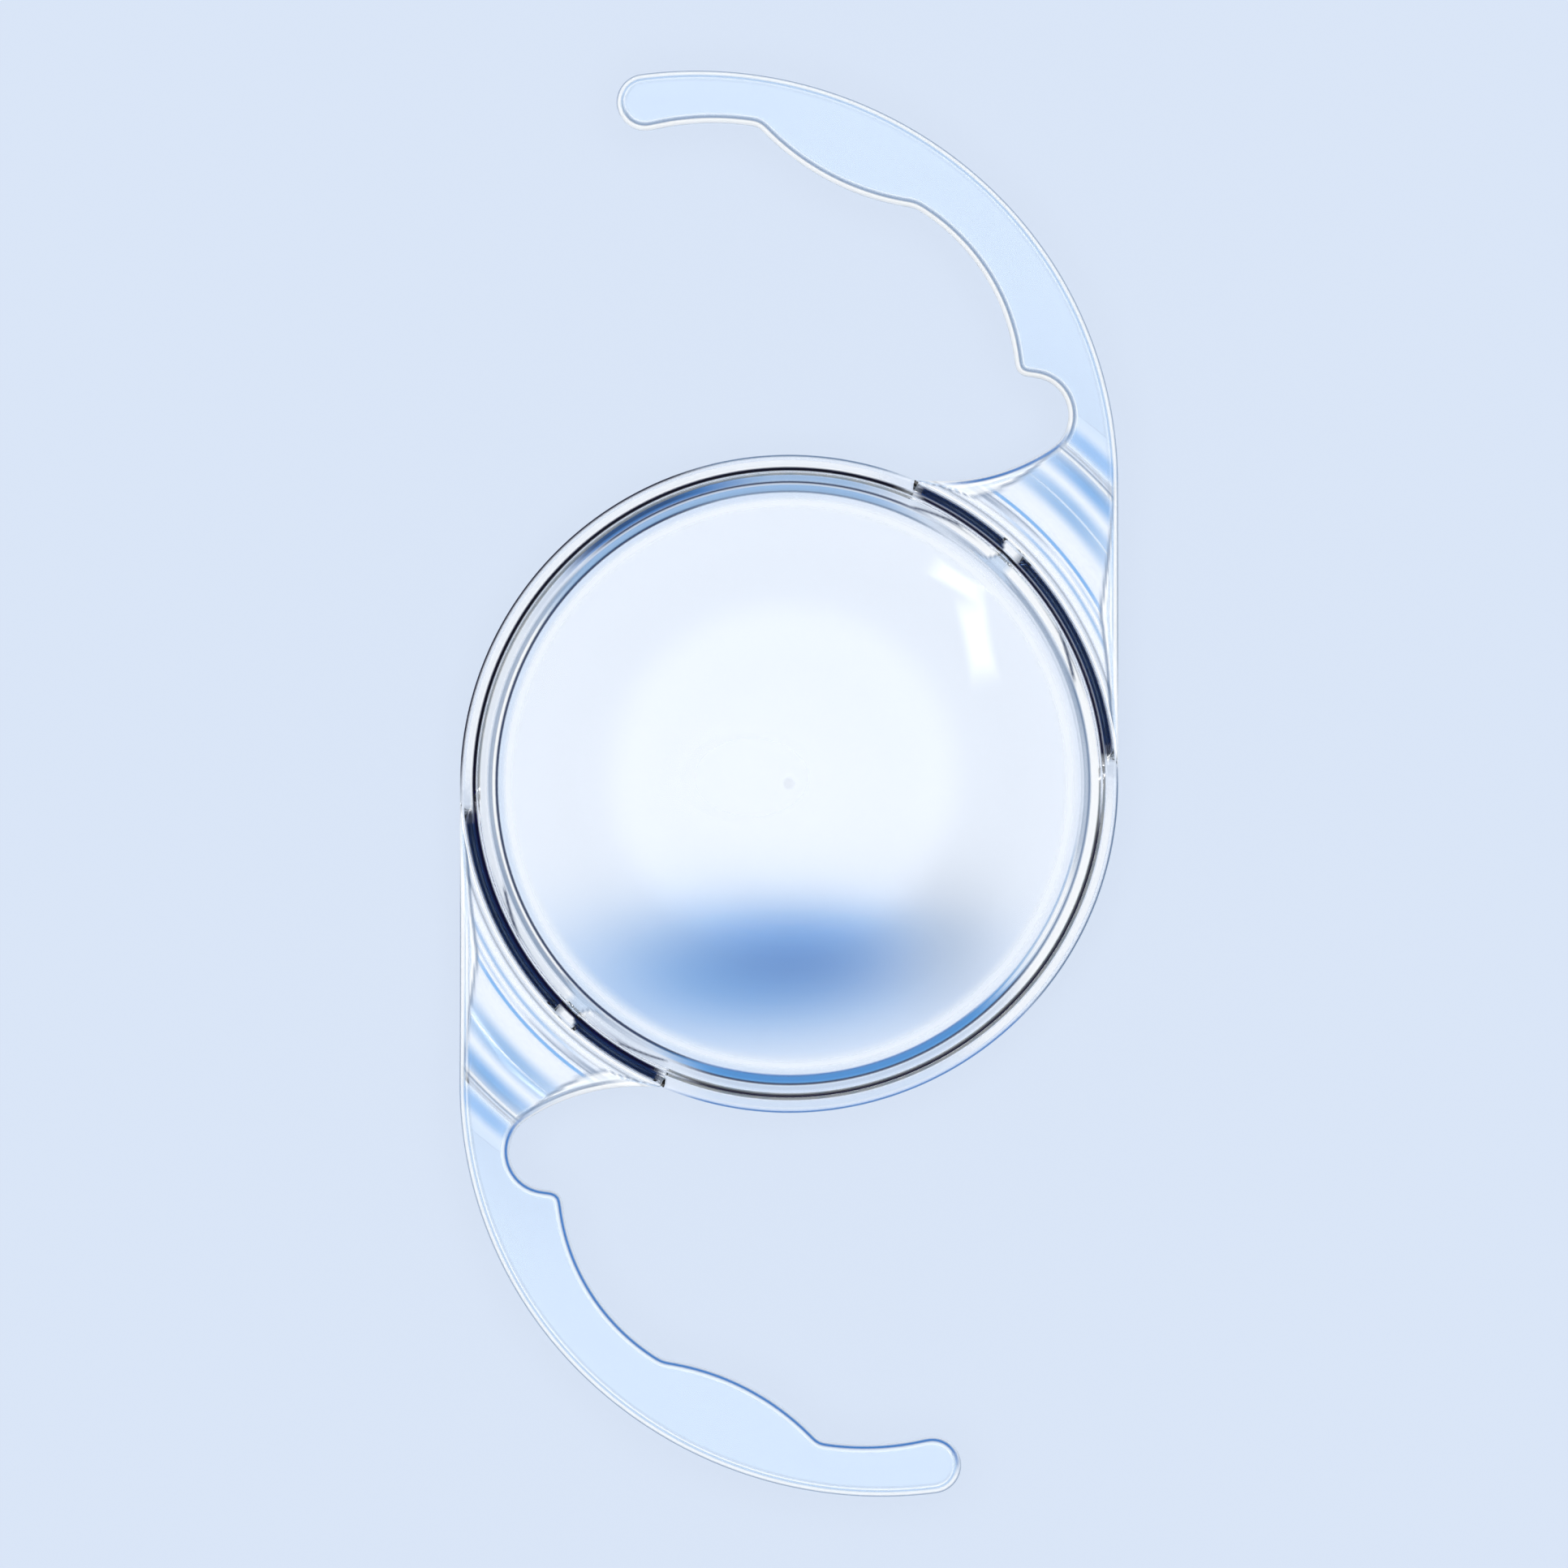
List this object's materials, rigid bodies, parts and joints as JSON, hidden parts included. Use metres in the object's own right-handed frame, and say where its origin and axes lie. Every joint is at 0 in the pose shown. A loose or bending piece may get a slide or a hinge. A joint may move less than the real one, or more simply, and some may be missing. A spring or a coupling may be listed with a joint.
{
  "type": "intraocular lens",
  "caption": "Clear one-piece biconvex optic with a stepped rim and thin curved open-loop haptics, each with a ramped root, a notch, a widened paddle and a rounded tip.",
  "frame": {"origin": "the back (posterior) vertex of the optic, on the optical axis, where the lens touches the surface it lies on", "axes": "+Z along the optical axis towards the front (anterior) side, +Y along the overall length towards one haptic's end, +X towards the side where that haptic leaves the rim"},
  "size_m": [0.006, 0.013, 0.0008],
  "materials": {
    "clear_acrylic": "clear soft acrylic, polished all over, with a faint cool tint in the haptics"
  },
  "bodies": {
    "root": {"lens": "clear_acrylic"}
  },
  "joints": []
}
